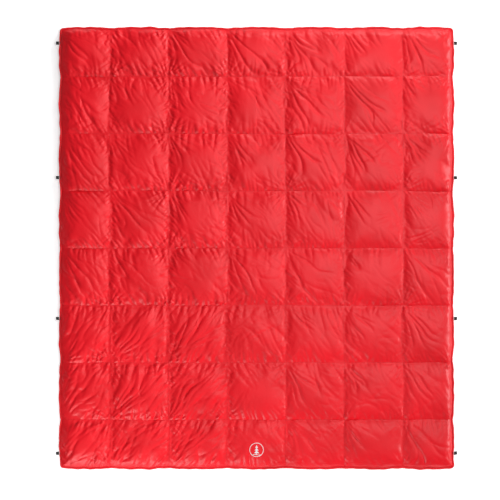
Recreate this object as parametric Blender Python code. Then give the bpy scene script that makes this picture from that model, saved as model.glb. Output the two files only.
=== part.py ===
"""A two-person camp blanket: a box-quilted nylon cover with loose fill, sewn cord loops and a printed mark.

It lies face up with the lining on z = 0, its head end towards +Y. The cover is drawn in four sections of
two rows, because the blanket packs by folding along the three seams between them.
"""
import math

import bmesh
import bpy

# Overall size and quilting, in metres.
WIDTH = 1.905
LENGTH = 2.134
ROWS = 8
COLUMNS = 7
INNER_ROW = 0.2755
INNER_COLUMN = 0.282

# Heights over the surface that the blanket lies on.
CROWN = 0.056
FACE_SEAM = 0.040
LINING_SEAM = 0.016
EDGE_HEIGHT = 0.027
CLOTH = 0.001
GAP = 0.0003
FOLD_GAP = 0.0005

# Binding round the edge, and the loops sewn into it.
BINDING_WIDTH = 0.009
BINDING_THICKNESS = 0.004
LOOP_Y = (0.990, 0.340, -0.340, -0.990)
LOOP_TAPE = 0.015
LOOP_EYE = (0.0046, 0.0030)
LOOP_WALL = 0.0014
LOOP_REACH = 0.0072
LOOP_TAIL = 0.0012
LOOP_PIVOT = WIDTH / 2 + 0.002

# Inside: walls between the rows and columns, and the fill.
WALL = 0.0008
WALL_STOP = 0.040
FILL_CLEAR = 0.006
EDGE_TAPER = 0.028
FILL_HALF = 0.010
NECK = 0.022

# Thread and print.
THREAD_WIDTH = 0.001
THREAD_HEIGHT = 0.0005
TACK_SIZE = (0.002, 0.012, 0.0008)
MARK_RADIUS = 0.034
MARK_LINE = 0.0035
MARK_THICKNESS = 0.0003
MARK_DROP = 0.022

# How high a quilted box stands at each line across it: (place from -1 to 1, share of its full rise).
FACE_LINES = ((-1, 0), (-0.62, 1), (0.62, 1), (1, 0))
LINING_LINES = ((-1, 0), (-0.55, 1), (0.55, 1), (1, 0))

SECTIONS = ("head", "upper", "lower", "foot")
SIDES = (("left", -1), ("right", 1))


def lines_between(whole, inner, count):
    """Seam places from one edge to the other, with equal inner boxes and narrower outer ones."""
    half = inner * (count - 2) / 2
    return [-whole / 2] + [-half + inner * i for i in range(count - 1)] + [whole / 2]


column_seams = lines_between(WIDTH, INNER_COLUMN, COLUMNS)
row_seams = lines_between(LENGTH, INNER_ROW, ROWS)[::-1]
face_edge = WIDTH / 2 - BINDING_WIDTH - GAP
face_end = LENGTH / 2 - BINDING_WIDTH - GAP


def material(name, colour, roughness, metallic=0.0):
    made = bpy.data.materials.new(name)
    made.use_nodes = True
    shader = made.node_tree.nodes["Principled BSDF"]
    shader.inputs["Base Color"].default_value = (*colour, 1)
    shader.inputs["Roughness"].default_value = roughness
    shader.inputs["Metallic"].default_value = metallic
    return made


def clear_scene():
    for thing in list(bpy.data.objects):
        bpy.data.objects.remove(thing)


def add_part(name, mesh, finish):
    part = bpy.data.objects.new(name, mesh)
    parts.objects.link(part)
    mesh.materials.clear()
    mesh.materials.append(finish)
    return part


def slab(name, xs, ys, top, bottom, finish, keep=None):
    """A closed solid over the grid of lines xs and ys, between two heights that depend on the place.

    keep says, for a cell's middle, whether the solid covers it.
    """
    shape = bmesh.new()
    bmesh.ops.create_grid(shape, x_segments=len(xs) - 1, y_segments=len(ys) - 1, size=1)
    for vert in shape.verts:
        column = round((vert.co.x + 1) / 2 * (len(xs) - 1))
        row = round((vert.co.y + 1) / 2 * (len(ys) - 1))
        vert.co = (xs[column], ys[row], 0)
    if keep:
        spare = [face for face in shape.faces if not keep(*face.calc_center_median().xy)]
        bmesh.ops.delete(shape, geom=spare, context="FACES")
    lower = list(shape.verts)
    raised = bmesh.ops.extrude_face_region(shape, geom=list(shape.faces))["geom"]
    for vert in raised:
        if isinstance(vert, bmesh.types.BMVert):
            vert.co.z = top(vert.co.x, vert.co.y)
    for vert in lower:
        vert.co.z = bottom(vert.co.x, vert.co.y)
    bmesh.ops.recalc_face_normals(shape, faces=list(shape.faces))
    mesh = bpy.data.meshes.new(name)
    shape.to_mesh(mesh)
    shape.free()
    return add_part(name, mesh, finish)


def quilt_lines(seams, pattern, low, high):
    """Grid lines over the boxes between seams from low to high, each with its share of the rise."""
    lines = {}
    for start, end in zip(seams, seams[1:]):
        for place, share in pattern:
            at = (start + end) / 2 + place * (end - start) / 2
            lines[round(min(max(at, low), high), 6)] = share
    return lines


def share_at(lines, at):
    """The share of the grid line that a point lies on."""
    return lines[min(lines, key=lambda line: abs(line - at))]


def quilted_skin(name, section, outer, seam_height, crown, pattern, finish):
    """One section's cloth: boxes that rise from their seams to a flat crown, and drop to the binding."""
    rows = sorted(row_seams[2 * section:2 * section + 3])
    low = -face_end if section == 3 else rows[0] + FOLD_GAP
    high = face_end if section == 0 else rows[-1] - FOLD_GAP
    across = quilt_lines(column_seams, pattern, -face_edge, face_edge)
    along = quilt_lines(rows, pattern, low, high)
    inward = -CLOTH if outer > 0 else CLOTH

    def outside(x, y):
        if max(abs(x) - face_edge, abs(y) - face_end) > -GAP:
            return EDGE_HEIGHT + outer * (CLOTH + GAP)
        return seam_height + (crown - seam_height) * share_at(across, x) * share_at(along, y)

    def inside(x, y):
        return outside(x, y) + inward

    upper, lower = (outside, inside) if outer > 0 else (inside, outside)
    return slab(name, sorted(across), sorted(along), upper, lower, finish)


def make_skins():
    for number, section in enumerate(SECTIONS):
        quilted_skin("face_fabric_" + section, number, 1, FACE_SEAM, CROWN, FACE_LINES, face_nylon)
        quilted_skin("lining_" + section, number, -1, LINING_SEAM, 0, LINING_LINES, lining_nylon)


def make_binding():
    """A folded strip round the edge, cut where the sections part and at the corners."""
    top = EDGE_HEIGHT + BINDING_THICKNESS / 2
    low = EDGE_HEIGHT - BINDING_THICKNESS / 2
    inner_x, inner_y = WIDTH / 2 - BINDING_WIDTH, LENGTH / 2 - BINDING_WIDTH

    def strip(name, xs, ys):
        slab(name, sorted(xs), sorted(ys), lambda x, y: top, lambda x, y: low, binding_nylon)

    for number, section in enumerate(SECTIONS):
        start = min(row_seams[2 * number] - FOLD_GAP, inner_y - GAP)
        end = max(row_seams[2 * number + 2] + FOLD_GAP, GAP - inner_y)
        for side, sign in SIDES:
            strip(f"edge_binding_{section}_{side}", [sign * inner_x, sign * WIDTH / 2], [end, start])
    strip("edge_binding_head_end", [-WIDTH / 2, WIDTH / 2], [inner_y, LENGTH / 2])
    strip("edge_binding_foot_end", [-WIDTH / 2, WIDTH / 2], [-inner_y, -LENGTH / 2])


def wall_end():
    """How far out the walls reach: to where the lining starts to rise to the edge."""
    start, end = column_seams[-2:]
    return (start + end) / 2 + LINING_LINES[-2][0] * (end - start) / 2


def make_walls():
    """Walls that hold the face off the lining: one on each row seam, and short ones across the rows."""
    top, low = FACE_SEAM - CLOTH - 2 * GAP, LINING_SEAM + CLOTH + 2 * GAP
    inner_columns = column_seams[1:-1]
    for number, section in enumerate(SECTIONS):
        middle = row_seams[2 * number + 1]
        high_end = row_seams[2 * number] - WALL_STOP - (EDGE_TAPER if number == 0 else 0)
        low_end = row_seams[2 * number + 2] + WALL_STOP + (EDGE_TAPER if number == 3 else 0)
        xs = [-wall_end()] + [x + side * WALL / 2 for x in inner_columns for side in (-1, 1)] + [wall_end()]
        ys = [low_end, middle - WALL / 2, middle + WALL / 2, high_end]
        slab(
            f"baffle_grid_{section}", xs, ys, lambda x, y: top, lambda x, y: low, baffle_mesh,
            keep=lambda x, y, middle=middle: abs(y - middle) < WALL
            or min(abs(x - seam) for seam in inner_columns) < WALL,
        )
    for number in (2, 4, 6):
        near = row_seams[number] + FOLD_GAP + 0.0015
        slab(
            f"fold_baffle_{number // 2}", [-wall_end(), wall_end()], [near, near + WALL],
            lambda x, y: top, lambda x, y: low, baffle_mesh,
        )


def make_fill():
    """The fill of each row: a clump in each box, joined through the gaps that the cross walls leave."""
    middle = (CROWN + 0) / 2
    for row in range(ROWS):
        high, low = row_seams[row], row_seams[row + 1]
        high -= FILL_CLEAR + (EDGE_TAPER if row == 0 else 0)
        low += FILL_CLEAR + (EDGE_TAPER if row == ROWS - 1 else 0)
        opens_up = row % 2 == 0
        neck_start = high - NECK if opens_up else low + NECK
        across = {}
        for column in range(COLUMNS):
            start, end = column_seams[column] + FILL_CLEAR, column_seams[column + 1] - FILL_CLEAR
            start += EDGE_TAPER if column == 0 else 0
            end -= EDGE_TAPER if column == COLUMNS - 1 else 0
            quarter = (end - start) / 4
            across.update({start: 0.3, start + quarter: 1, end - quarter: 1, end: 0.3})
        quarter = (high - low) / 4
        along = {low: 0.3, low + quarter: 1, high - quarter: 1, high: 0.3, neck_start: 0.6}

        def rise(x, y, across=across, along=along):
            return FILL_HALF * share_at(across, x) * share_at(along, y)

        def covered(x, y, opens_up=opens_up, neck_start=neck_start):
            at_wall = min(abs(x - seam) for seam in column_seams[1:-1]) < FILL_CLEAR
            in_neck = y > neck_start if opens_up else y < neck_start
            return not at_wall or in_neck

        slab(
            f"fill_row_{row + 1}", sorted(across), sorted(along), lambda x, y, rise=rise: middle + rise(x, y),
            lambda x, y, rise=rise: middle - rise(x, y), down_fill, keep=covered,
        )


def outline_part(name, splines, half_depth, finish):
    """A flat outline, with its holes, given a thickness."""
    curve = bpy.data.curves.new(name, "CURVE")
    curve.dimensions = "2D"
    curve.fill_mode = "BOTH"
    curve.extrude = half_depth
    for points in splines:
        spline = curve.splines.new("POLY")
        spline.points.add(len(points) - 1)
        for point, (x, y) in zip(spline.points, points):
            point.co = (x, y, 0, 1)
        spline.use_cyclic_u = True
    curve.materials.append(finish)
    part = bpy.data.objects.new(name, curve)
    parts.objects.link(part)
    return part


def loop_outlines():
    """A tape doubled over into an eye, seen from its side, with its stitched tail behind the pivot."""
    eye_x, eye_z = LOOP_EYE
    out_x, out_z = eye_x + LOOP_WALL, eye_z + LOOP_WALL
    steps = 20
    join = math.asin(LOOP_WALL / out_z)
    arc = [math.pi + join + (2 * math.pi - 2 * join) * i / steps for i in range(steps + 1)]
    outer = [(-LOOP_TAIL, LOOP_WALL), (-LOOP_TAIL, -LOOP_WALL)]
    outer += [(LOOP_REACH + out_x * math.cos(a), out_z * math.sin(a)) for a in arc]
    turn = [2 * math.pi * i / steps for i in range(steps)]
    eye = [(LOOP_REACH + eye_x * math.cos(a), eye_z * math.sin(a)) for a in turn]
    return [outer, eye]


def make_loops():
    """Tape loops down both sides, each with its origin on the line where it bends, and their tacks."""
    for side, sign in SIDES:
        for number, y in enumerate(LOOP_Y, 1):
            loop = outline_part(f"loop_{side}_{number}", loop_outlines(), LOOP_TAPE / 2, black_webbing)
            loop.location = (sign * LOOP_PIVOT, y, EDGE_HEIGHT)
            loop.rotation_euler = (math.pi / 2, 0, 0 if sign > 0 else math.pi)
            shape = bmesh.new()
            bmesh.ops.create_cube(shape, size=1)
            bmesh.ops.scale(shape, vec=TACK_SIZE, verts=shape.verts)
            mesh = bpy.data.meshes.new(f"bartack_{side}_{number}")
            shape.to_mesh(mesh)
            shape.free()
            tack = add_part(mesh.name, mesh, thread_black)
            lift = BINDING_THICKNESS / 2 + GAP + TACK_SIZE[2] / 2
            tack.location = (sign * (WIDTH / 2 - BINDING_WIDTH / 2), y, EDGE_HEIGHT + lift)


def make_threads():
    """The thread along each row seam, lying in its groove on the face."""
    for number, seam in enumerate(row_seams[1:-1], 1):
        on_fold = number % 2 == 0
        y = seam + (FOLD_GAP + 0.001 if on_fold else 0)
        z = FACE_SEAM + (0.0012 if on_fold else 0.0006)
        slab(
            f"quilting_thread_{number}", [-wall_end(), wall_end()],
            [y - THREAD_WIDTH / 2, y + THREAD_WIDTH / 2],
            lambda x, y, z=z: z + THREAD_HEIGHT, lambda x, y, z=z: z, thread_red,
        )


def arc_points(radius, start, end, steps):
    turns = [start + (end - start) * i / steps for i in range(steps + 1)]
    return [(radius * math.cos(turn), radius * math.sin(turn)) for turn in turns]


def make_mark():
    """A generic printed badge: a ring with a fir tree standing on a ground line."""
    inner = MARK_RADIUS - MARK_LINE
    ground, under = -0.4 * MARK_RADIUS, -0.4 * MARK_RADIUS - MARK_LINE
    low, sunk = math.asin(ground / inner), math.asin(under / inner)
    tree = []
    for tier in range(3):
        base = ground + MARK_RADIUS * (0.16 + 0.3 * tier)
        reach = MARK_RADIUS * (0.42 - 0.1 * tier)
        tree += [(reach, base), (reach * 0.45, base + MARK_RADIUS * 0.3)]
    trunk = MARK_RADIUS * 0.07
    right = [(trunk, ground), (trunk, tree[0][1])] + tree[:-1] + [(0, tree[-2][1] + MARK_RADIUS * 0.36)]
    left = [(-x, y) for x, y in right[-2::-1]]
    sky = arc_points(inner, math.pi - low, low, 28) + right + left
    earth = arc_points(inner, sunk, -math.pi - sunk, 16)
    ring = arc_points(MARK_RADIUS, 0, 2 * math.pi, 36)[:-1]
    mark = outline_part("printed_mark", [ring, sky, earth], MARK_THICKNESS / 2, silver_ink)
    across = (column_seams[3] + column_seams[4]) / 2
    along = (row_seams[7] + row_seams[8]) / 2
    mark.location = (across, along - MARK_DROP, CROWN + GAP + MARK_THICKNESS / 2)


clear_scene()
parts = bpy.data.collections.new("camp_blanket")
bpy.context.scene.collection.children.link(parts)
face_nylon = material("face nylon", (0.76, 0.022, 0.031), 0.42)
lining_nylon = material("lining nylon", (0.035, 0.037, 0.042), 0.5)
binding_nylon = material("binding nylon", (0.68, 0.018, 0.026), 0.45)
baffle_mesh = material("baffle mesh", (0.8, 0.8, 0.78), 0.9)
down_fill = material("down fill", (0.86, 0.84, 0.8), 1.0)
black_webbing = material("black webbing", (0.012, 0.012, 0.013), 0.8)
thread_black = material("black thread", (0.015, 0.015, 0.016), 0.7)
thread_red = material("red thread", (0.5, 0.012, 0.018), 0.7)
silver_ink = material("silver ink", (0.62, 0.63, 0.65), 0.35, 0.3)
make_skins()
make_binding()
make_walls()
make_fill()
make_loops()
make_threads()
make_mark()
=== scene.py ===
import bpy
import math
import numpy as np
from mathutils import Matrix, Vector
from mathutils.bvhtree import BVHTree


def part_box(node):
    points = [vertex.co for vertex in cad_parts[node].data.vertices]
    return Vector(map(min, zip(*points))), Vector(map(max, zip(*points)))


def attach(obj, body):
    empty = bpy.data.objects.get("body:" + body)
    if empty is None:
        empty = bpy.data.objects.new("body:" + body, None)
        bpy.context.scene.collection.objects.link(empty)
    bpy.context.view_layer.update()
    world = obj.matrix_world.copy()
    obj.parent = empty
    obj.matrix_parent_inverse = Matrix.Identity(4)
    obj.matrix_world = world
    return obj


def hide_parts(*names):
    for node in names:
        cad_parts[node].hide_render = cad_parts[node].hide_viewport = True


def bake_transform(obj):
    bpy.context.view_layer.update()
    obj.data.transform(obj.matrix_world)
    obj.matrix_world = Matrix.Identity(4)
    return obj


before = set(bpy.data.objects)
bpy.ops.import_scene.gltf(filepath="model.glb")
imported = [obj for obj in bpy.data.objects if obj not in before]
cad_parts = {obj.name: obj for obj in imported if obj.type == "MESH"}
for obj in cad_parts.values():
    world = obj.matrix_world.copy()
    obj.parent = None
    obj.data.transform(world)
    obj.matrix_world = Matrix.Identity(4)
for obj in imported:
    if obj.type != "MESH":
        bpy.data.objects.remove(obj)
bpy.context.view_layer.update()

# What a user would change about the quilt as a whole, in metres.
quilt = {
    "columnPitch": 0.282,      # inner boxes, seam to seam
    "simStep": 0.009,          # thread spacing of the simulated cloth
    "liningStep": 0.0135,
    "cloth": 0.0006,           # thickness of the nylon
    "corner": 0.016,           # radius of the outline's corners
    "faceSeam": 0.0438,        # height of the face along its seams
    "faceRise": 0.0172,        # how far a box stands over its seams
    "liningSeam": 0.0155,
    "liningRise": 0.0115,
    "gather": 1.05,            # cloth cut larger than the frame that its seams hold it to
    "foldZone": 0.025,         # cloth each side of a fold seam that bends with it
}


def say(text):
    print("[blanket]", text, flush=True)


def toLinear(code):                                  # sRGB hex to linear red, green, blue, alpha
    values = [int(code[i:i + 2], 16) / 255 for i in (0, 2, 4)]
    return [v / 12.92 if v <= 0.04045 else ((v + 0.055) / 1.055) ** 2.4 for v in values] + [1.0]


def addNode(tree, kind, settings=None, **links):     # links: socket name with _ for space -> value or output
    node = tree.nodes.new(kind)
    for key, value in (settings or {}).items():
        if key[0].isupper():
            node.inputs[key].default_value = value
        else:
            setattr(node, key, value)
    for key, value in links.items():
        socket = node.inputs[int(key[1:])] if key[1:].isdigit() else node.inputs[key.replace("_", " ")]
        tree.links.new(value, socket)
    return node


def smooth(t):
    t = np.clip(t, 0, 1)
    return t * t * (3 - 2 * t)


def noise(x, y, seed):                               # gradient noise, about -1 to 1, one bump a unit
    table = np.random.default_rng(seed).uniform(0, 2 * math.pi, (256, 256))
    xi, yi = np.floor(x).astype(int), np.floor(y).astype(int)
    fx, fy = x - xi, y - yi
    sx, sy = fx ** 3 * (fx * (fx * 6 - 15) + 10), fy ** 3 * (fy * (fy * 6 - 15) + 10)

    def corner(i, j):
        angle = table[(xi + i) % 256, (yi + j) % 256]
        return np.cos(angle) * (fx - i) + np.sin(angle) * (fy - j)
    low = corner(0, 0) * (1 - sx) + corner(1, 0) * sx
    high = corner(0, 1) * (1 - sx) + corner(1, 1) * sx
    return 1.5 * (low * (1 - sy) + high * sy)


def valley(value, sharp):                            # 0 in a crease, soon 1 beside it
    return 1 - np.exp(-sharp * np.abs(value))


def creases(x, y, angle, wide, long, seed, sharp=4.0):   # creases that run along angle, flat between
    c, s = math.cos(angle), math.sin(angle)
    along, across = x * c + y * s, y * c - x * s
    bend = noise(along / long * 0.6, across / long, seed + 7) * wide
    return valley(noise(along / long, (across + bend) / wide, seed), sharp)


def deselect():
    for thing in bpy.context.selected_objects:
        thing.select_set(False)


def gridObject(name, points):                        # a cloth of (rows, columns, 3) points
    rows, columns = points.shape[:2]
    deselect()
    bpy.ops.mesh.primitive_grid_add(x_subdivisions=columns - 1, y_subdivisions=rows - 1, size=2)
    piece = bpy.context.object
    piece.name = piece.data.name = name
    here = np.empty(rows * columns * 3, np.float32)
    piece.data.vertices.foreach_get("co", here)
    here = here.reshape(-1, 3)
    column = np.rint((here[:, 0] + 1) / 2 * (columns - 1)).astype(int)
    row = np.rint((here[:, 1] + 1) / 2 * (rows - 1)).astype(int)
    piece.data.vertices.foreach_set("co", points[row, column].astype(np.float32).ravel())
    piece.data.update()
    return piece, row, column


def applyModifiers(piece):
    deselect()
    piece.select_set(True)
    bpy.context.view_layer.objects.active = piece
    for modifier in list(piece.modifiers):
        bpy.ops.object.modifier_apply(modifier=modifier.name)


def subdivide(piece):
    modifier = piece.modifiers.new("finer", "SUBSURF")
    modifier.levels = modifier.render_levels = 1
    modifier.boundary_smooth = "PRESERVE_CORNERS"
    applyModifiers(piece)


def closeShell(piece, thickness):                    # gives an open cloth its thickness, inwards
    modifier = piece.modifiers.new("thickness", "SOLIDIFY")
    modifier.thickness, modifier.offset = thickness, -1
    applyModifiers(piece)


def sweep(name, rings, closed=False):                # a closed solid from (stations, points round, 3)
    stations = np.concatenate([rings, rings[:1]]) if closed else rings
    piece = gridObject(name, np.concatenate([stations, stations[:, :1]], 1))[0]
    bpy.context.view_layer.objects.active = piece
    bpy.ops.object.mode_set(mode="EDIT")
    bpy.ops.mesh.select_all(action="SELECT")
    bpy.ops.mesh.remove_doubles(threshold=0.00001)
    bpy.ops.mesh.select_all(action="SELECT")
    if not closed:
        bpy.ops.mesh.fill_holes(sides=0)
        bpy.ops.mesh.select_all(action="SELECT")
    bpy.ops.mesh.normals_make_consistent(inside=False)
    bpy.ops.object.mode_set(mode="OBJECT")
    piece.data.shade_smooth()
    return piece


def copies(name, centres, along, side, up, size):    # one small rounded stitch at each centre
    deselect()
    bpy.ops.mesh.primitive_ico_sphere_add(subdivisions=1, radius=1)
    piece = bpy.context.object
    piece.name = piece.data.name = name
    array = piece.modifiers.new("row", "ARRAY")
    array.count, array.use_relative_offset, array.use_constant_offset = len(centres), False, True
    array.constant_offset_displace = (4, 0, 0)
    applyModifiers(piece)
    here = coordinates(piece)
    which = np.clip(np.rint(here[:, 0] / 4).astype(int), 0, len(centres) - 1)
    here[:, 0] -= which * 4
    place(piece, centres[which] + along[which] * here[:, :1] * size[0] / 2
          + side[which] * here[:, 1:2] * size[1] / 2 + up[which] * here[:, 2:] * size[2] / 2)
    piece.data.shade_smooth()
    return piece


def coordinates(piece):
    values = np.empty(len(piece.data.vertices) * 3, np.float32)
    piece.data.vertices.foreach_get("co", values)
    return values.reshape(-1, 3).astype(float)


def place(piece, points):
    piece.data.vertices.foreach_set("co", points.astype(np.float32).ravel())
    piece.data.update()


# Where the seams are, from the frame.
faceLow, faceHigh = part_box("face_fabric_head")
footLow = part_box("face_fabric_foot")[0]
threadBoxes = [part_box(f"quilting_thread_{n}") for n in range(1, 8)]
threadRows = [(low.y + high.y) / 2 for low, high in threadBoxes]
foldRows = {"head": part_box("face_fabric_upper")[1].y, "middle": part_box("face_fabric_lower")[1].y,
            "foot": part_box("face_fabric_foot")[1].y}
rowSeams = np.array([footLow.y, threadRows[6], foldRows["foot"], threadRows[4], foldRows["middle"],
                     threadRows[2], foldRows["head"], threadRows[0], faceHigh.y])
half = quilt["columnPitch"] / 2
columnSeams = np.array([faceLow.x] + [half * k for k in (-5, -3, -1, 1, 3, 5)] + [faceHigh.x])
edgeLow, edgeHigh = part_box("edge_binding_head_end")
edgeZ = (edgeLow.z + edgeHigh.z) / 2
outX, outY = edgeHigh.x, edgeHigh.y
loopBoxes = [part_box(f"loop_left_{n}") for n in range(1, 5)]
loopRows = np.array([(low.y + high.y) / 2 for low, high in loopBoxes])


def seamLines(seams, step):                          # grid lines that fall on every seam
    lines, onSeam = [], []
    for start, end in zip(seams, seams[1:]):
        count = max(2, round((end - start) / step))
        onSeam.append(len(lines))
        lines += list(np.linspace(start, end, count, endpoint=False))
    onSeam.append(len(lines))
    return np.array(lines + [seams[-1]]), onSeam


def boxPlace(x, seams):                              # box, place in it from -1 to 1, distance to its seams
    box = np.clip(np.searchsorted(seams, x, side="right") - 1, 0, len(seams) - 2)
    low, high = seams[box], seams[box + 1]
    across = np.clip((x - low) / (high - low) * 2 - 1, -1, 1)
    return box, across, np.maximum(np.minimum(x - low, high - x), 0)


# How far the sewn blanket strays from its pattern, in metres.
straying = {
    "seamShift": 0.0034, "seamWave": 0.0032,         # column seams, row by row and along their length
    "rowRipple": 0.0016, "rowWave": 0.0040,
    "bulge": 0.0065, "tuck": 0.0035,                 # the outline swells at a box and is drawn in at a seam
    "ripple": 0.0035, "rippleLength": 0.045,
    "edgeBand": 0.16,                                # how far in the outline's moves are felt
    "atLoop": 0.0008, "loopReach": 0.025,            # the outline lies level where a loop is sewn on
    "flare": 0.007,                                  # the foot's right corner is pulled out
}


def wander(x, y):
    u = boxPlace(x, columnSeams)[1]
    row, v, fromRow = boxPlace(y, rowSeams)
    shifts = np.random.default_rng(11).normal(0, straying["seamShift"], (9, 9))
    nearest = np.clip(np.rint((x - columnSeams[1]) / quilt["columnPitch"]).astype(int) + 1, 0, 7)
    inside = smooth((outX - np.abs(x)) / 0.12)
    dx = shifts[row, nearest] * smooth(fromRow / 0.05) * inside
    dx += straying["seamWave"] * noise(x / 0.21, y / 0.085, 21) * inside
    dy = straying["rowRipple"] * noise(x / 0.10, y / 0.3, 22)
    dy += straying["rowWave"] * noise(x / 0.33, y / 0.2, 25)
    dy *= smooth((outY - np.abs(y)) / 0.1)
    sideBulge = (1 - np.abs(v) ** 2) * straying["bulge"] - straying["tuck"]
    endBulge = (1 - np.abs(u) ** 2) * straying["bulge"] - straying["tuck"]
    calm = 1 - np.exp(-((np.asarray(y)[..., None] - loopRows) / straying["loopReach"]) ** 2).max(-1)
    band = straying["edgeBand"]
    nearSide = smooth((np.abs(x) - (outX - band)) / band)
    nearEnd = smooth((np.abs(y) - (outY - band)) / band)
    sideRipple = straying["ripple"] * calm * noise(y / straying["rippleLength"], x * 0 + 3.3, 23)
    endRipple = straying["ripple"] * noise(x / straying["rippleLength"], y * 0 + 5.1, 24)
    dx += np.sign(x) * nearSide * (sideBulge * calm + straying["atLoop"] * (1 - calm) + sideRipple)
    dy += np.sign(y) * nearEnd * (endBulge + endRipple)
    inX = np.maximum(quilt["corner"] - (outX - np.abs(x)), 0)
    inY = np.maximum(quilt["corner"] - (outY - np.abs(y)), 0)
    shrink = np.maximum(inX, inY) / np.maximum(np.hypot(inX, inY), 1e-9) - 1
    both = (inX > 0) & (inY > 0)
    dx += np.where(both, np.sign(x) * inX * shrink, 0)
    dy += np.where(both, np.sign(y) * inY * shrink, 0)
    dx += straying["flare"] * smooth((x - 0.80) / 0.15) * smooth((-1.0 - y) / 0.06)
    return dx, dy


# Drag folds: depth, direction in radians, width and length in metres, and how sharp their valleys are.
dragFolds = {
    "broadDown": (0.0070, -0.90, 0.095, 0.34, 3.5), "broadUp": (0.0064, 0.85, 0.085, 0.24, 3.5),
    "thinDown": (0.0036, -0.98, 0.055, 0.26, 6), "thinUp": (0.0034, 0.80, 0.044, 0.20, 6),
    "fineDown": (0.0034, -0.85, 0.032, 0.11, 5), "fineUp": (0.0034, 0.75, 0.032, 0.11, 5),
    "level": (0.0030, 0.4, 0.050, 0.12, 5),
}
# Depths and pitches of what the seams draw up, in metres.
gathers = {
    "lump": 0.0036, "wideLump": 0.0048,              # the down lies in soft lumps
    "row": 0.0066, "rowPitch": 0.033, "rowFine": 0.0024, "rowFinePitch": 0.019,
    "column": 0.0074, "columnPitch": 0.030,
    "fan": 0.0050, "fanRadius": 0.045,               # short rays round a crossing
    "spoke": 0.0078, "spokeTurn": 0.95,              # long rays from one corner of a box, at this angle
}


def folds(kind, x, y, share, seed):
    depth, angle, wide, long, sharp = dragFolds[kind]
    return depth * share * (creases(x, y, angle, wide, long, seed, sharp) - 1)


def leftFoot(x, y):                                  # 1 in the lower left, where the folds run the other way
    return smooth((-0.15 - y) / 0.2) * smooth((0.1 - x) / 0.35)


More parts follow.
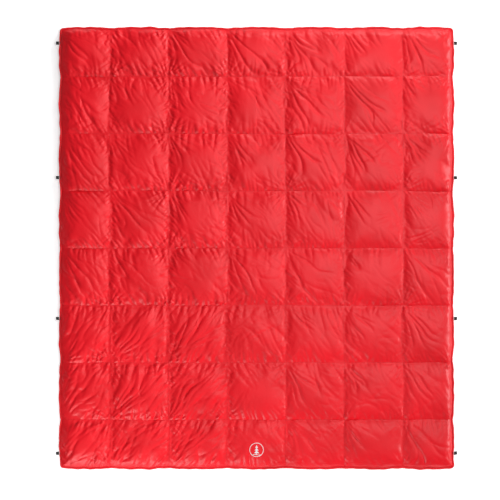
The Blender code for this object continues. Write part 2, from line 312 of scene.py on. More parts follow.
def coverRelief(x, y, seed):                         # heights in metres: broad folds, then sharp creases
    box, u, fromColumn = boxPlace(x, columnSeams)
    row, v, fromRow = boxPlace(y, rowSeams)
    rng = np.random.default_rng(seed)
    toRight = smooth((x + 0.5) / 1.2)
    strength = rng.uniform(0.65, 1.25, (9, 9))[row, box] * (1.15 - 0.55 * toRight)
    lowerLeft = leftFoot(x, y)
    patches = smooth(noise(x / 0.24 + 3, y / 0.22 + 1, seed + 8) * 1.8 + 0.30)
    downRight = (1 - lowerLeft) * patches * (1 - 0.25 * smooth((x - 0.55) / 0.3))
    broad = folds("broadDown", x, y, downRight, seed + 9)
    broad += folds("broadUp", x, y, lowerLeft, seed + 11)
    broad += gathers["lump"] * strength * noise(x / 0.10, y / 0.11, seed + 20)
    broad += gathers["wideLump"] * strength * noise(x / 0.19, y / 0.21, seed + 21)
    # gathers that stand on the row seams, each with its own lean and reach
    lean = (rng.normal(-0.25, 0.22, (9, 9))[row, box] + 0.7 * lowerLeft) * np.sign(v) * fromRow
    side = np.sign(v) * 40
    rowReach = 0.050 + 0.055 * noise(x / 0.036, side + y * 0, seed + 3)
    fade = np.exp(-(fromRow / np.maximum(rowReach, 0.012)) ** 1.7)
    rowGather = valley(noise((x + lean) / gathers["rowPitch"], side + fromRow / 0.16, seed + 1), 3) - 0.30
    sharp = gathers["row"] * strength * fade * rowGather
    fade = np.exp(-(fromRow / 0.020) ** 1.5)
    fineRow = (x + lean * 1.3) / gathers["rowFinePitch"]
    fineGather = valley(noise(fineRow, side + fromRow / 0.08, seed + 2), 3) - 0.3
    sharp += gathers["rowFine"] * fade * fineGather
    # puckers beside the column seams
    sideX = np.sign(u) * 30
    sloped = (y + 0.8 * fromColumn) / gathers["columnPitch"]
    columnGather = valley(noise(sideX + fromColumn / 0.10, sloped, seed + 4), 3) - 0.3
    columnReach = 0.024 + 0.036 * noise(y / 0.05, x * 0 + np.sign(u) * 9, seed + 5)
    fade = np.exp(-(fromColumn / np.maximum(columnReach, 0.008)) ** 1.5)
    sharp += gathers["column"] * strength * columnGather * fade
    # fans that spread from the crossings
    corner = np.hypot(fromRow, fromColumn)
    turn = np.arctan2(fromRow, fromColumn)
    ray = turn * 3.4 + box * 3.7 + np.sign(v) * 5
    fan = valley(noise(ray, corner / 0.22 + row * 5.3, seed + 6), 4) - 0.40
    crossing = np.random.default_rng(seed + 17).uniform(0.1, 1.1, (10, 10))
    fan = fan * crossing[row + (v > 0), box + (u > 0)]
    sharp += gathers["fan"] * strength * fan * np.exp(-((corner - gathers["fanRadius"]) / 0.055) ** 2)
    # long creases from the top left corner of a box, or from the bottom left one in the lower left
    low, high = rowSeams[row], rowSeams[row + 1]
    turned = lowerLeft > 0.5
    fromStart = np.where(turned, y - low, high - y)
    fromLeft = np.maximum(x - columnSeams[box], 0)
    radius, turn = np.hypot(fromStart, fromLeft), np.arctan2(fromStart, fromLeft)
    turn = turn + 0.10 * noise(x / 0.12, y / 0.12, seed + 31)
    spoke = valley(noise(turn * 3.3 + box * 7.1, radius / 0.35 + row * 3.7, seed + 30), 7) - 1
    reach = np.random.default_rng(seed + 32).uniform(0.06, 0.24, (9, 9))[row, box]
    spoke = spoke * np.exp(-((turn - gathers["spokeTurn"]) / 0.42) ** 2)
    spoke = spoke * (1 - smooth((radius - reach) / 0.10))
    settled = np.abs(2 * lowerLeft - 1)              # 0 where the two directions meet
    sharp += gathers["spoke"] * spoke * np.minimum(radius / 0.10, 1) * settled
    # thinner creases between the broad folds
    sharp += folds("thinDown", x, y, downRight, seed + 10)
    sharp += folds("thinUp", x, y, lowerLeft, seed + 16)
    fine = np.where(turned, folds("fineUp", x, y, 1, seed + 33), folds("fineDown", x, y, 1, seed + 34))
    patchy = smooth(noise(x / 0.13, y / 0.15, seed + 35) * 1.6 + 0.5) * (1 - 0.6 * toRight)
    sharp += fine * patchy * settled
    wrinkled = smooth(noise(x / 0.17, y / 0.17, seed + 13) * 2.2 - 0.7)
    sharp += folds("level", x, y, wrinkled, seed + 12)
    held = smooth(np.minimum(fromRow / 0.008, fromColumn / 0.010))
    return broad * held, sharp * held


# How the boxes are filled: the down has slid to the right in the left ones, and they stand a little taller.
loft = {
    "flat": 2.7, "flatter": 1.3,                     # power of a box's rise, and what it gains to the right
    "leftHeight": 1.12, "rightLoss": 0.34,           # share of the rise
    "slide": 0.62,
    "leftFall": 0.055, "rightFall": 0.022, "endFall": 0.036,      # metres from full height to the binding
}


def pillow(x, y):
    u, v = boxPlace(x, columnSeams)[1], boxPlace(y, rowSeams)[1]
    toRight = smooth((x + 0.65) / 1.0)
    shape = loft["flat"] + loft["flatter"] * toRight
    slope = np.clip((u + 1) / (1.0 - loft["slide"] * toRight), 0, 1)
    sideways = (1 - (1 - slope) ** 1.9) * (1 - np.maximum(u, 0) ** (shape - 0.1)) ** 0.85
    even = loft["leftHeight"] - loft["rightLoss"] * toRight
    return even * sideways * (1 - np.abs(v) ** shape) ** 0.72


def edgeFall(x, y):                                  # 0 at the binding, 1 well inside
    fromSide = (columnSeams[-1] - np.abs(x)) / np.where(x < 0, loft["leftFall"], loft["rightFall"])
    t = np.clip(np.minimum(fromSide, (rowSeams[-1] - np.abs(y)) / loft["endFall"]), 0, 1)
    return 1 - (1 - t) ** 2


def coverPoints(step, seed, seam, rise, up):
    xs, onColumn = seamLines(columnSeams, step)
    ys, onRow = seamLines(rowSeams, step)
    x, y = np.meshgrid(xs, ys)
    z = seam + up * (rise * pillow(x, y) + coverRelief(x, y, seed)[0])
    columnDip = 0.0025 * smooth(boxPlace(y, rowSeams)[2] / 0.05)
    onColumnLine = np.isin(np.arange(len(xs)), onColumn)[None, :] & np.ones_like(x, bool)
    onRowLine = np.isin(np.arange(len(ys)), onRow)[:, None] & np.ones_like(x, bool)
    z = np.where(onColumnLine & ~onRowLine, seam + up * columnDip, z)
    rim = np.zeros_like(x, bool)
    rim[0], rim[-1], rim[:, 0], rim[:, -1] = True, True, True, True
    z = np.maximum(z, seam - quilt["cloth"]) if up > 0 else np.minimum(z, seam + quilt["cloth"])
    rimZ = edgeZ + up * 0.0016                       # inside the binding
    z = rimZ + (z - rimZ) * edgeFall(x, y)
    dx, dy = wander(x, y)
    return np.stack([x + dx, y + dy, z], 2), onColumnLine | onRowLine, onRow


# The nylon as it is simulated: light, supple, blown out slightly by the down.
fabric = {"frames": 8, "mass": 0.02, "stretch": 15, "shear": 5, "bend": 0.02, "pressure": 5,
          "slant": 0.035,                            # how far off the grain the pieces are sewn
          "furthest": 0.016}                         # metres that any point may move


def simulate(points, pinned, up):
    piece, row, column = gridObject("clothInWork", points)
    held = pinned[row, column]
    group = piece.vertex_groups.new(name="sewn")
    group.add(np.nonzero(held)[0].tolist(), 1, "ADD")
    if up < 0:
        piece.data.flip_normals()
    piece.shape_key_add(name="asSewn")
    cut = piece.shape_key_add(name="asCut")
    flat = points[row, column].copy()
    x, y = flat[:, 0].copy(), flat[:, 1].copy()
    shear = fabric["slant"] * (1 - 2 * leftFoot(x, y))
    flat[:, 0] = x * quilt["gather"] + shear * y
    flat[:, 1] = y * quilt["gather"] + shear * x
    cut.data.foreach_set("co", flat.astype(np.float32).ravel())
    cloth = piece.modifiers.new("nylon", "CLOTH")
    settings = cloth.settings
    settings.rest_shape_key = cut
    settings.vertex_group_mass = "sewn"
    settings.pin_stiffness = 1
    settings.quality = 4
    settings.mass = fabric["mass"]
    settings.air_damping = 3
    settings.tension_stiffness = settings.compression_stiffness = fabric["stretch"]
    settings.shear_stiffness = fabric["shear"]
    settings.bending_stiffness = fabric["bend"]
    settings.use_pressure = True
    settings.uniform_pressure_force = fabric["pressure"]
    settings.effector_weights.gravity = 0
    cloth.collision_settings.use_collision = False
    cloth.point_cache.frame_start, cloth.point_cache.frame_end = 1, fabric["frames"] + 1
    start = points[row, column]
    for number in range(1, fabric["frames"] + 1):
        bpy.context.scene.frame_set(number)
    shaped = piece.evaluated_get(bpy.context.evaluated_depsgraph_get())
    result = np.empty(len(start) * 3, np.float32)
    shaped.data.vertices.foreach_get("co", result)
    result = result.reshape(-1, 3).astype(float)
    bpy.context.scene.frame_set(1)
    moved = result - start
    far = np.linalg.norm(moved, axis=1, keepdims=True)
    result = start + moved * np.minimum(1, fabric["furthest"] / np.maximum(far, 1e-9))
    say(f"cloth: moved {far.mean() * 1000:.1f} mm on average, {far.max() * 1000:.1f} mm at most")
    grid = np.empty_like(points)
    grid[row, column] = result
    bpy.data.objects.remove(piece)
    return grid


def newMaterial(name):
    made = bpy.data.materials.new(name)
    made.use_nodes = True
    made.node_tree.nodes.clear()
    shader = made.node_tree.nodes.new("ShaderNodeBsdfPrincipled")
    output = made.node_tree.nodes.new("ShaderNodeOutputMaterial")
    made.node_tree.links.new(shader.outputs[0], output.inputs[0])
    return made, made.node_tree, shader


def mixColours(tree, share, first, second):
    ramp = tree.nodes.new("ShaderNodeValToRGB")
    ramp.color_ramp.elements[0].color = first
    ramp.color_ramp.elements[1].color = second
    tree.links.new(share, ramp.inputs[0])
    return ramp


# Lengths in the finishes are in millimetres. Real taffeta has threads about 0.2 mm apart, too fine to show.
calenderedNylon = {           # nylon taffeta pressed flat by hot rollers: smooth, with a broad soft sheen
    "light": "de0a1b", "dark": "d00716", "roughness": 0.45, "gloss": 0.40,
    "threadSpacing": 1.6,
    "crinkle": 9.0,           # small dents that packing leaves
}
liningTaffeta = {             # the same cloth, dyed charcoal and not pressed: duller
    "light": "34363a", "dark": "26282b", "roughness": 0.55, "gloss": 0.4,
    "threadSpacing": 1.6, "crinkle": 11.0,
}
bindingTape = {               # the face cloth folded over the raw edges, worked by the needle, so less even
    "light": "dc0c1b", "dark": "cc0816", "roughness": 0.52, "gloss": 0.34,
    "threadSpacing": 1.2, "crinkle": 5.0,
}
# The gap colour of a banded finish is painted shade: the yarn darkened in the gaps between ribs, yarns or net
# bars, where shade falls.
webbingTape = {               # grosgrain: matt, with ribs across it
    "yarn": "17181a", "gapShade": "0b0b0c", "pitch": 1.3, "relief": 0.3, "roughness": 0.62,
}
redThread = {                 # spun polyester, two yarns twisted: dull
    "yarn": "b00d15", "gapShade": "8a0910", "pitch": 0.7, "relief": 0.1, "roughness": 0.7,
}
tackThread = {                # the same thread packed close, slightly waxed
    "yarn": "2a0a0c", "gapShade": "120506", "pitch": 0.7, "relief": 0.1, "roughness": 0.5,
}
baffleNet = {                 # knitted net, drawn as bars because its holes are too fine
    "yarn": "e9e9e6", "gapShade": "9d9d9a", "pitch": 2.0, "relief": 0.2, "roughness": 0.7,
}
silverInk = {                 # screen print that has lost a few grains: dry, with a slight glint
    "light": "d9d9da", "dark": "b9b4b6", "cluster": 1.1, "relief": 0.05, "roughness": 0.38,
}
downFill = {                  # clusters of down: fluffy, no shine
    "light": "f1ede4", "dark": "d8d1c4", "cluster": 9.0, "relief": 3.0, "roughness": 0.9,
}


def waves(spacing):                                  # a wave texture's scale for bands this many mm apart
    return 1000 / spacing / 6.2832


def wovenNylon(name, finish, onUv=True):
    made, tree, shader = newMaterial(name)
    if onUv:
        where = addNode(tree, "ShaderNodeUVMap", {"uv_map": "clothMetres"}).outputs[0]
    else:
        where = addNode(tree, "ShaderNodeTexCoord").outputs["Object"]
    drift = addNode(tree, "ShaderNodeTexNoise", {"Scale": 5.0, "Detail": 2.0}, Vector=where)
    cloud = mixColours(tree, drift.outputs[0], toLinear(finish["dark"]), toLinear(finish["light"]))
    cloud.color_ramp.elements[0].position, cloud.color_ramp.elements[1].position = 0.3, 0.6
    tree.links.new(cloud.outputs[0], shader.inputs["Base Color"])
    crinkle = addNode(tree, "ShaderNodeTexNoise", {"Scale": 1000 / finish["crinkle"], "Detail": 3.0,
                      "Roughness": 0.6, "Distortion": 0.6}, Vector=where)
    bands = waves(finish["threadSpacing"])
    warp = addNode(tree, "ShaderNodeTexWave", {"bands_direction": "X", "Scale": bands}, Vector=where)
    weft = addNode(tree, "ShaderNodeTexWave", {"bands_direction": "Y", "Scale": bands}, Vector=where)
    weave = addNode(tree, "ShaderNodeMath", {"operation": "MULTIPLY"}, n0=warp.outputs[1], n1=weft.outputs[1])
    dents = addNode(tree, "ShaderNodeBump", {"Strength": 0.35, "Distance": 0.0012}, Height=crinkle.outputs[0])
    threads = addNode(tree, "ShaderNodeBump", {"Strength": 0.25, "Distance": 0.0001},
                      Height=weave.outputs[0], Normal=dents.outputs[0])
    tree.links.new(threads.outputs[0], shader.inputs["Normal"])
    shader.inputs["Roughness"].default_value = finish["roughness"]
    shader.inputs["Specular IOR Level"].default_value = finish["gloss"]
    return made


def banded(name, finish, direction):                 # ribs, twisted yarn or net
    made, tree, shader = newMaterial(name)
    depth = finish["relief"] / 1000
    where = addNode(tree, "ShaderNodeTexCoord").outputs["Object"]
    ribs = addNode(tree, "ShaderNodeTexWave", {"bands_direction": direction, "Scale": waves(finish["pitch"]),
                   "Distortion": 1.2, "Detail": 1.0}, Vector=where)
    fuzz = addNode(tree, "ShaderNodeTexNoise", {"Scale": 900.0, "Detail": 2.0}, Vector=where)
    # painted shade: the colour darkens towards the gap colour in the low parts of the ribs, in step with the
    # bump below
    colour = mixColours(tree, ribs.outputs[1], toLinear(finish["gapShade"]), toLinear(finish["yarn"]))
    tree.links.new(colour.outputs[0], shader.inputs["Base Color"])
    grain = addNode(tree, "ShaderNodeBump", {"Strength": 0.3, "Distance": 0.0001}, Height=fuzz.outputs[0])
    bump = addNode(tree, "ShaderNodeBump", {"Strength": 0.6, "Distance": depth}, Height=ribs.outputs[1],
                   Normal=grain.outputs[0])
    tree.links.new(bump.outputs[0], shader.inputs["Normal"])
    shader.inputs["Roughness"].default_value = finish["roughness"]
    return made


def clumped(name, finish):                           # down clusters, worn ink
    made, tree, shader = newMaterial(name)
    size, depth = finish["cluster"], finish["relief"] / 1000
    where = addNode(tree, "ShaderNodeTexCoord").outputs["Object"]
    clusters = addNode(tree, "ShaderNodeTexVoronoi", {"Scale": 1000 / size}, Vector=where)
    wisps = addNode(tree, "ShaderNodeTexNoise", {"Scale": 3000 / size, "Detail": 4.0}, Vector=where)
    mixed = addNode(tree, "ShaderNodeMath", {"operation": "MULTIPLY_ADD", "use_clamp": True},
                    n0=clusters.outputs[0], n1=wisps.outputs[0], n2=wisps.outputs[0])
    colour = mixColours(tree, mixed.outputs[0], toLinear(finish["dark"]), toLinear(finish["light"]))
    colour.color_ramp.elements[0].position, colour.color_ramp.elements[1].position = 0.25, 0.6
    tree.links.new(colour.outputs[0], shader.inputs["Base Color"])
    bump = addNode(tree, "ShaderNodeBump", {"Strength": 0.5, "Distance": depth}, Height=mixed.outputs[0])
    tree.links.new(bump.outputs[0], shader.inputs["Normal"])
    shader.inputs["Roughness"].default_value = finish["roughness"]
    return made


# The camera looks straight down on a paper floor. Lamps are placed in metres and aimed at the middle.
studio = {
    "height": 6.0, "across": 2.425, "centre": (-0.0315, -0.009), "floorSize": 120,
    "floor": "f7f7f7", "floorGlow": 0.40, "skyStrength": 0.175,
    "sideLight": {"from": (8.0, 0.4, 3.9), "strength": 2.5, "angle": 12},      # degrees across
    "overhead": {"from": (1.3, 0.55, 4.9), "watts": 80, "size": 1.8},
    "headSoftbox": {"from": (1.0, 3.0, 1.5), "watts": 46, "size": 1.2},
    "footSoftbox": {"from": (-1.2, -2.9, 1.5), "watts": 56, "size": 1.2},
}


def aimed(name, kind, start):
    lamp = bpy.data.objects.new(name, bpy.data.lights.new(name, kind))
    lamp.location = start
    lamp.rotation_euler = (-Vector(start)).to_track_quat("-Z", "Y").to_euler()
    bpy.context.scene.collection.objects.link(lamp)
    return lamp.data


def makeStudio():
    camera = bpy.data.objects.new("camera", bpy.data.cameras.new("camera"))
    bpy.context.scene.collection.objects.link(camera)
    camera.location = (*studio["centre"], studio["height"])
    camera.data.lens = camera.data.sensor_width * studio["height"] / studio["across"]
    bpy.context.scene.camera = camera
    deselect()
    bpy.ops.mesh.primitive_plane_add(size=studio["floorSize"])
    floor = bpy.context.object
    floor.name = "floor"
    made, _, shader = newMaterial("white paper")
    shader.inputs["Base Color"].default_value = toLinear(studio["floor"])
    shader.inputs["Roughness"].default_value = 0.9
    shader.inputs["Emission Color"].default_value = (1, 1, 1, 1)
    shader.inputs["Emission Strength"].default_value = studio["floorGlow"]
    floor.data.materials.append(made)
    side = aimed("sideLight", "SUN", studio["sideLight"]["from"])
    side.energy, side.angle = studio["sideLight"]["strength"], math.radians(studio["sideLight"]["angle"])
    for name in ("overhead", "headSoftbox", "footSoftbox"):
        lamp = aimed(name, "AREA", studio[name]["from"])
        lamp.energy, lamp.size = studio[name]["watts"], studio[name]["size"]
    world = bpy.data.worlds.new("studio")
    bpy.context.scene.world = world
    world.use_nodes = True
    world.node_tree.nodes["Background"].inputs[0].default_value = (1, 1, 1, 1)
    world.node_tree.nodes["Background"].inputs[1].default_value = studio["skyStrength"]
    world.cycles_visibility.glossy = False
    bpy.context.scene.view_settings.view_transform = "Standard"
    say("studio done")


def giveClothUv(piece, flatXy):                      # the cloth's own metres, as it lay before it was sewn
    layer = piece.data.uv_layers.new(name="clothMetres")
    loops = np.empty(len(piece.data.loops), int)
    piece.data.loops.foreach_get("vertex_index", loops)
    layer.data.foreach_set("uv", flatXy[loops].astype(np.float32).ravel())


def bendAt(piece):                             # bakes the piece's placement into its points
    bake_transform(piece)


def onSeams(piece, seams, axis, reach):              # edges whose two ends lie on a seam of the pattern
    here = coordinates(piece)
    dx, dy = wander(here[:, 0], here[:, 1])
    value = here[:, axis] - (dx, dy)[axis]
    close = np.abs(value[:, None] - seams[None, 1:-1]).min(1) < reach
    ends = np.empty(len(piece.data.edges) * 2, int)
    piece.data.edges.foreach_get("vertices", ends)
    return close[ends[0::2]] & close[ends[1::2]]


# Limits on a section's height above the ground, in metres.
limits = {
    "tall": 0.059, "tallest": 0.007,                 # the down gives way past the first, up to their sum
    "low": 0.004, "ground": 0.0006,                  # the lining rests on the ground
    "seamReach": 0.002, "hardReach": 0.0012,         # edges this close to a seam are creased, or hard
    "rowCrease": 0.9, "columnCrease": 0.4,
}


def finishSection(name, points, up, seed, seam, material):
    piece = gridObject(name, points)[0]
    if up < 0:
        piece.data.flip_normals()
    rows = onSeams(piece, rowSeams, 1, limits["seamReach"])
    columns = onSeams(piece, columnSeams, 0, limits["seamReach"])
    crease = piece.data.attributes.new("crease_edge", "FLOAT", "EDGE")
    share = np.where(rows, limits["rowCrease"], np.where(columns, limits["columnCrease"], 0))
    crease.data.foreach_set("value", share.astype(np.float32))
    subdivide(piece)
    here = coordinates(piece)
    dx, dy = wander(here[:, 0], here[:, 1])
    x, y = here[:, 0] - dx, here[:, 1] - dy
    sharp = coverRelief(x, y, seed)[1]
    fall = edgeFall(x, y)
    room = (here[:, 2] - (edgeZ + (seam - edgeZ) * fall)) * up
    here[:, 2] += up * np.maximum(sharp, -0.85 * np.maximum(room, 0)) * (0.35 + 0.65 * fall)
    tall, tallest = limits["tall"], limits["tallest"]
    high = here[:, 2] > tall
    here[high, 2] = tall + tallest * (1 - np.exp((tall - here[high, 2]) / tallest))
    if up < 0:
        low = here[:, 2] < limits["low"]
        depth = limits["low"] - limits["ground"]
        here[low, 2] = limits["ground"] + depth * np.exp((here[low, 2] - limits["low"]) / depth)
    place(piece, here)
    giveClothUv(piece, np.stack([x, y], 1))
    piece.data.shade_smooth()
    sharpEdges = piece.data.attributes.new("sharp_edge", "BOOLEAN", "EDGE")
    sharpEdges.data.foreach_set("value", onSeams(piece, rowSeams, 1, limits["hardReach"]))
    closeShell(piece, quilt["cloth"])
    piece.data.materials.append(material)
    return piece


def makeCover(up, seed, step, seam, rise, material, names, nodes):
    points, pinned, onRow = coverPoints(step, seed, seam, rise, up)
    points = simulate(points, pinned, up)
    cuts = [(0, onRow[3]), (onRow[3], onRow[5]), (onRow[5], onRow[8])]
    made = []
    for name, replaced, (low, high) in zip(names, nodes, cuts):
        piece = finishSection(name, points[low:high + 1], up, seed, seam, material)
        made.append(piece)
        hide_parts(*replaced)
        say(f"{name}: {len(piece.data.polygons)} faces")
    return made


makeStudio()
redNylon = wovenNylon("calendered red nylon", calenderedNylon)
charcoalNylon = wovenNylon("charcoal taffeta lining", liningTaffeta)
redBinding = wovenNylon("red nylon binding tape", bindingTape, onUv=False)
blackTape = banded("black grosgrain tape", webbingTape, "X")
seamThread = banded("red polyester thread", redThread, "DIAGONAL")
darkThread = banded("dark bar tack thread", tackThread, "DIAGONAL")
ink = clumped("silver screen print ink", silverInk)
down = clumped("white down clusters", downFill)
net = banded("nylon baffle net", baffleNet, "X")
say("finishes done")

faces = makeCover(1, 101, quilt["simStep"], quilt["faceSeam"], quilt["faceRise"], redNylon,
                  ["faceFoot", "faceMiddle", "faceHead"],
                  [["face_fabric_foot"], ["face_fabric_lower", "face_fabric_upper"], ["face_fabric_head"]])
linings = makeCover(-1, 404, quilt["liningStep"], quilt["liningSeam"], quilt["liningRise"], charcoalNylon,
                    ["liningFoot", "liningMiddle", "liningHead"],
                    [["lining_foot"], ["lining_lower", "lining_upper"], ["lining_head"]])

# What lies on top of the cloth is set down on it from these.
trees = [BVHTree.FromObject(piece, bpy.context.evaluated_depsgraph_get()) for piece in faces]
underTrees = [BVHTree.FromObject(piece, bpy.context.evaluated_depsgraph_get()) for piece in linings]


def onCloth(x, y, forest, up=1):                     # height of the cloth there
    heights = [tree.ray_cast(Vector((x, y, 0.03 + up * 0.2)), Vector((0, 0, -up)))[0] for tree in forest]
    heights = [up * hit.z for hit in heights if hit]
    return up * max(heights) if heights else edgeZ


# Metres. A stitch's size is its length, width and height. Stitches stop short of the ends and the cuts.
stitching = {"pitch": 0.0062, "size": (0.0046, 0.0010, 0.0007), "end": 0.004, "cut": 0.003, "proud": 0.0001}


def seamPath(fixed, start, end, alongX):             # stitch places on one seam, as it wanders
    count = int(abs(end - start) / stitching["pitch"])
    run = np.linspace(start, end, count)
    x, y = (run, np.full(count, fixed)) if alongX else (np.full(count, fixed), run)
    dx, dy = wander(x, y)
    return x + dx, y + dy


def makeStitches(name, rows, low, high, forest, up):
    end = stitching["end"]
    paths = [seamPath(seam, columnSeams[0] + end, columnSeams[-1] - end, True) for seam in rows]
    paths += [seamPath(seam, low, high, False) for seam in columnSeams[1:-1]]
    centres, along = [], []
    for x, y in paths:
        z = np.array([onCloth(a, b, forest, up) for a, b in zip(x, y)]) + up * stitching["proud"]
        line = np.stack([x, y, z], 1)
        step = np.gradient(line, axis=0)
        centres.append(line)
        along.append(step / np.linalg.norm(step, axis=1, keepdims=True))
    centres, along = np.concatenate(centres), np.concatenate(along)
    side = np.cross([0, 0, 1], along)
    side /= np.linalg.norm(side, axis=1, keepdims=True)
    piece = copies(name, centres, along, side, np.cross(along, side), stitching["size"])
    piece.data.materials.append(seamThread)
    return piece


stitchEnd, stitchCut = stitching["end"], stitching["cut"]
stitchRows = {
    "Foot": (rowSeams[1:4], rowSeams[0] + stitchEnd, rowSeams[3] - stitchCut, "foot", (5, 6, 7)),
    "Middle": (rowSeams[4:5], rowSeams[3] + stitchCut, rowSeams[5] - stitchCut, "middle", (3, 4)),
    "Head": (rowSeams[5:8], rowSeams[5] + stitchCut, rowSeams[8] - stitchEnd, "head", (1, 2)),
}
stitches = []
for part, (rows, low, high, fold, threads) in stitchRows.items():
    piece = makeStitches("stitches" + part, rows, low, high, trees, 1)
    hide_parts(*[f"quilting_thread_{n}" for n in threads])
    stitches.append((piece, fold))
    piece = makeStitches("liningStitches" + part, rows, low, high, underTrees, -1)
    stitches.append((piece, fold))
say("stitches done")

# Binding, in metres: it is folded over the edge, so it is a flat tube that its thread gathers.
binding = {"halfWidth": 0.0048, "halfHeight": 0.0024, "outward": 0.0034, "step": 0.005, "pucker": 0.011,
           "around": 14, "lift": 0.0010}


def bindingPath(corners):                            # nominal corner points -> wandering centre line
    runs = [np.linspace(a, b, max(2, int(np.hypot(*(np.array(b) - a)) / binding["step"])), endpoint=False)
            for a, b in zip(corners, corners[1:])]
    flat = np.concatenate(runs + [np.array(corners[-1:])])
    dx, dy = wander(flat[:, 0], flat[:, 1])
    return flat + np.stack([dx, dy], 1)


def makeBinding(name, corners, nodes):
    path = bindingPath(corners)
    step = np.gradient(path, axis=0)
    step /= np.linalg.norm(step, axis=1, keepdims=True)
    outward = np.stack([-step[:, 1], step[:, 0]], 1)
    outward *= np.sign(np.sum(outward * path, axis=1, keepdims=True))
    run = path[:, 0] + path[:, 1]                    # alike on both sides of a joint, so that the ends meet
    key = run * 0 + 3.7
    gathered = noise(run / binding["pucker"], key, 61)
    wide = binding["halfWidth"] * (1 + 0.08 * noise(run / 0.05, key, 62) + 0.08 * gathered)
    high = binding["halfHeight"] * (1 + 0.22 * gathered)
    angle = np.linspace(0, 2 * math.pi, binding["around"], endpoint=False)
    cosine, sine = np.cos(angle), np.sin(angle)
    lean = 0.25 * noise(run / 0.07, key, 63)
    across = wide[:, None] * (np.sign(cosine) * np.abs(cosine) ** 0.8)
    upward = high[:, None] * (np.sign(sine) * np.abs(sine) ** 0.8) + lean[:, None] * across
    rings = np.empty((len(path), binding["around"], 3))
    rings[:, :, 0] = path[:, :1] + outward[:, :1] * (across + binding["outward"])
    rings[:, :, 1] = path[:, 1:] + outward[:, 1:] * (across + binding["outward"])
    rings[:, :, 2] = edgeZ + binding["lift"] * noise(run / 0.09, key, 64)[:, None] + upward
    piece = sweep(name, rings)
    piece.data.materials.append(redBinding)
    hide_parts(*nodes)
    return piece


left, right, foot, head = columnSeams[0], columnSeams[-1], rowSeams[0], rowSeams[8]
lowCut, highCut = rowSeams[3], rowSeams[5]           # the pieces meet half way between two folds
bindings = [
    (makeBinding("bindingHead", [(left, highCut), (left, head), (right, head), (right, highCut)],
                 ["edge_binding_head_left", "edge_binding_head_right", "edge_binding_head_end"]), "head"),
    (makeBinding("bindingLeft", [(left, lowCut), (left, highCut)],
                 ["edge_binding_upper_left", "edge_binding_lower_left"]), "middle"),
    (makeBinding("bindingRight", [(right, lowCut), (right, highCut)],
                 ["edge_binding_upper_right", "edge_binding_lower_right"]), "middle"),
    (makeBinding("bindingFoot", [(left, lowCut), (left, foot), (right, foot), (right, lowCut)],
                 ["edge_binding_foot_left", "edge_binding_foot_right", "edge_binding_foot_end"]), "foot"),
]
say("binding done")

# Loops and bar tacks, in metres: a short tape folded double, its ends under the binding.
loop = {"tape": 0.0165, "wall": 0.0014, "reach": 0.0150, "eye": 0.0034, "ringCount": 44, "around": 18}
barTack = {"count": 16, "size": (0.0044, 0.0008, 0.0009), "proud": 0.0003}
sections = ["head_section", "upper_section", "lower_section", "foot_section"]


def makeLoop(side, number):
    low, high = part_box(f"loop_{side}_{number}")
    sign = -1 if side == "left" else 1
    rng = np.random.default_rng(number + (10 if side == "left" else 30))
    start = min(abs(low.x), abs(high.x))
    middle = Vector((0, (low.y + high.y) / 2, (low.z + high.z) / 2))
    count, reach, wall = loop["ringCount"], loop["reach"], loop["wall"]
    turn = np.linspace(0, 2 * math.pi, count, endpoint=False)
    out = start + wall / 2 + (reach - wall) * (1 - np.cos(turn)) / 2
    lift = loop["eye"] / 2 * np.sin(turn) * (0.55 + 0.45 * (1 - np.cos(turn)) / 2)
    around = np.linspace(0, 2 * math.pi, loop["around"], endpoint=False)
    flat = np.sign(np.cos(around)) * np.abs(np.cos(around)) ** 0.25 * loop["tape"] / 2
    thick = np.sign(np.sin(around)) * np.abs(np.sin(around)) ** 0.6 * wall / 2
    slopes = [np.gradient(np.tile(line, 3))[count:2 * count] for line in (out, lift)]
    step = np.stack(slopes, 1)
    step /= np.linalg.norm(step, axis=1, keepdims=True)
    rib = 1 + 0.10 * np.sin(around * 9)
    rings = np.empty((count, loop["around"], 3))
    reachOut = (out - start)[:, None] / reach
    skew = 0.06 * rng.uniform(-1, 1)                 # no two loops hang quite alike
    rings[:, :, 0] = sign * (out[:, None] + step[:, 1:] * thick * rib + skew * flat * reachOut)
    rings[:, :, 1] = middle.y + flat * (1 - 0.10 * reachOut) + rng.uniform(-0.002, 0.002) * reachOut
    tilt = rng.uniform(-0.16, 0.16) * reachOut
    rings[:, :, 2] = middle.z + lift[:, None] - step[:, :1] * thick * rib + tilt * flat
    piece = sweep(f"loop{side.title()}{number}", rings, closed=True)
    piece.data.materials.append(blackTape)
    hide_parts(f"loop_{side}_{number}")
    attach(piece, f"{side}_loop_{number}")


def makeBarTack(side, number):
    low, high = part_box(f"bartack_{side}_{number}")
    count = barTack["count"]
    ys = np.linspace(low.y, high.y, count)
    xs = np.full(count, (low.x + high.x) / 2)
    zigzag = np.where(np.arange(count) % 2, 0.5, -0.5)
    zs = np.full(count, edgeZ + binding["halfHeight"] + barTack["proud"])
    centres = np.stack([xs, ys, zs], 1)
    along = np.stack([np.ones(count), zigzag, np.zeros(count)], 1)
    along /= np.linalg.norm(along, axis=1, keepdims=True)
    across = np.cross([0, 0, 1], along)
    tack = copies(f"barTack{side.title()}{number}", centres, along, across, np.cross(along, across),
                  barTack["size"])
    tack.data.materials.append(darkThread)
    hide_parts(f"bartack_{side}_{number}")
    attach(tack, sections[number - 1])


for side in ("left", "right"):
    for number in range(1, 5):
        makeLoop(side, number)
        makeBarTack(side, number)
say("loops done")

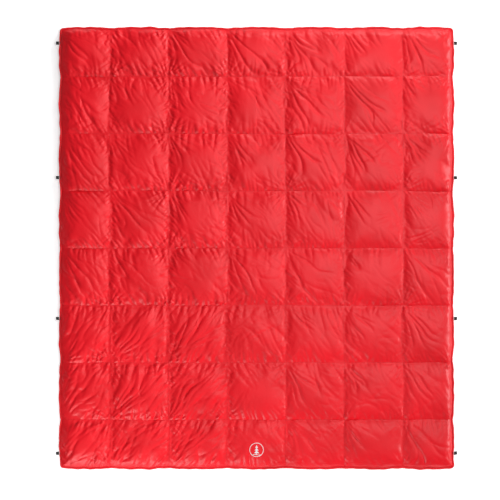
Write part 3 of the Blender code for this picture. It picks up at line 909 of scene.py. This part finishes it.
# Printed mark, in metres: a fir tree on its ground line, inside a ring.
mark = {
    "radius": 0.034, "line": 0.0024, "ink": 0.0004,
    "treeHeight": 0.038, "treeWidth": 0.026, "treeUp": 0.003, "tiers": 3, "treeStations": 34,
    "trunkTop": -0.0155, "trunkFoot": -0.0225, "trunkHalfWidth": 0.0016,
    "groundHalfLength": 0.020, "groundDown": -0.0235, "groundWave": 0.0014, "groundHalfWidth": 0.0011,
    "ringStations": 72, "lanes": 7,
}
markLow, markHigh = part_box("printed_mark")
markX, markY = (markLow.x + markHigh.x) / 2, (markLow.y + markHigh.y) / 2


def printPatch(name, centres, sides, closed=False):  # ink on the cloth: a centre line and its half widths
    step = np.gradient(np.concatenate([centres[-2:], centres, centres[:2]]) if closed else centres, axis=0)
    step = step[2:-2] if closed else step
    step /= np.linalg.norm(step, axis=1, keepdims=True)
    across = np.stack([-step[:, 1], step[:, 0]], 1)
    lanes = np.linspace(-1, 1, mark["lanes"])
    top = centres[:, None] + across[:, None] * (sides[:, None] * lanes)[:, :, None]
    ring = np.concatenate([top, top[:, ::-1]], 1)
    heights = np.array([[onCloth(markX + p[0], markY + p[1], trees) for p in row] for row in top])
    z = np.concatenate([heights + mark["ink"], heights[:, ::-1] - mark["ink"]], 1)
    rings = np.concatenate([ring + [markX, markY], z[:, :, None]], 2)
    return sweep(name, rings, closed)


angles = np.linspace(0, 2 * math.pi, mark["ringStations"], endpoint=False)
circle = np.stack([np.cos(angles), np.sin(angles)], 1) * (mark["radius"] - mark["line"] / 2)
patches = [printPatch("printedMark", circle, np.full(mark["ringStations"], mark["line"] / 2), True)]
stations = mark["treeStations"]
downward = np.linspace(0, 1, stations)
tier = (downward * mark["tiers"]) % 1
treeY = 0.5 * mark["treeHeight"] - downward * mark["treeHeight"] + mark["treeUp"]
spread = (0.30 + 0.70 * downward) * np.where(downward >= 1, 1, tier)
treeWidth = mark["treeWidth"] / 2 * (0.06 + spread)
patches.append(printPatch("tree", np.stack([np.zeros(stations), treeY], 1), treeWidth))
trunk = np.stack([np.zeros(4), np.linspace(mark["trunkTop"], mark["trunkFoot"], 4)], 1)
patches.append(printPatch("trunk", trunk, np.full(4, mark["trunkHalfWidth"])))
groundX = np.linspace(-mark["groundHalfLength"], mark["groundHalfLength"], 20)
groundY = mark["groundDown"] + mark["groundWave"] * np.sin(np.linspace(0, 6, 20))
patches.append(printPatch("ground", np.stack([groundX, groundY], 1), np.full(20, mark["groundHalfWidth"])))
deselect()
for patch in patches:
    patch.select_set(True)
bpy.context.view_layer.objects.active = patches[0]
bpy.ops.object.join()
patches[0].data.materials.append(ink)
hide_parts("printed_mark")
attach(patches[0], "foot_section")
say("mark done")

# What is inside keeps its shape: down in the rows, net in the walls.
for name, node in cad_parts.items():
    if name.startswith(("fill_row", "baffle_grid", "fold_baffle")):
        node.data.materials.clear()
        node.data.materials.append(down if name.startswith("fill_row") else net)

# The cloth, its stitches and its binding have their placement baked into their points.
for group in (faces, linings):
    for piece, fold in zip(group, ("foot", "middle", "head")):
        bendAt(piece)
for piece, fold in stitches + bindings:
    bendAt(piece)
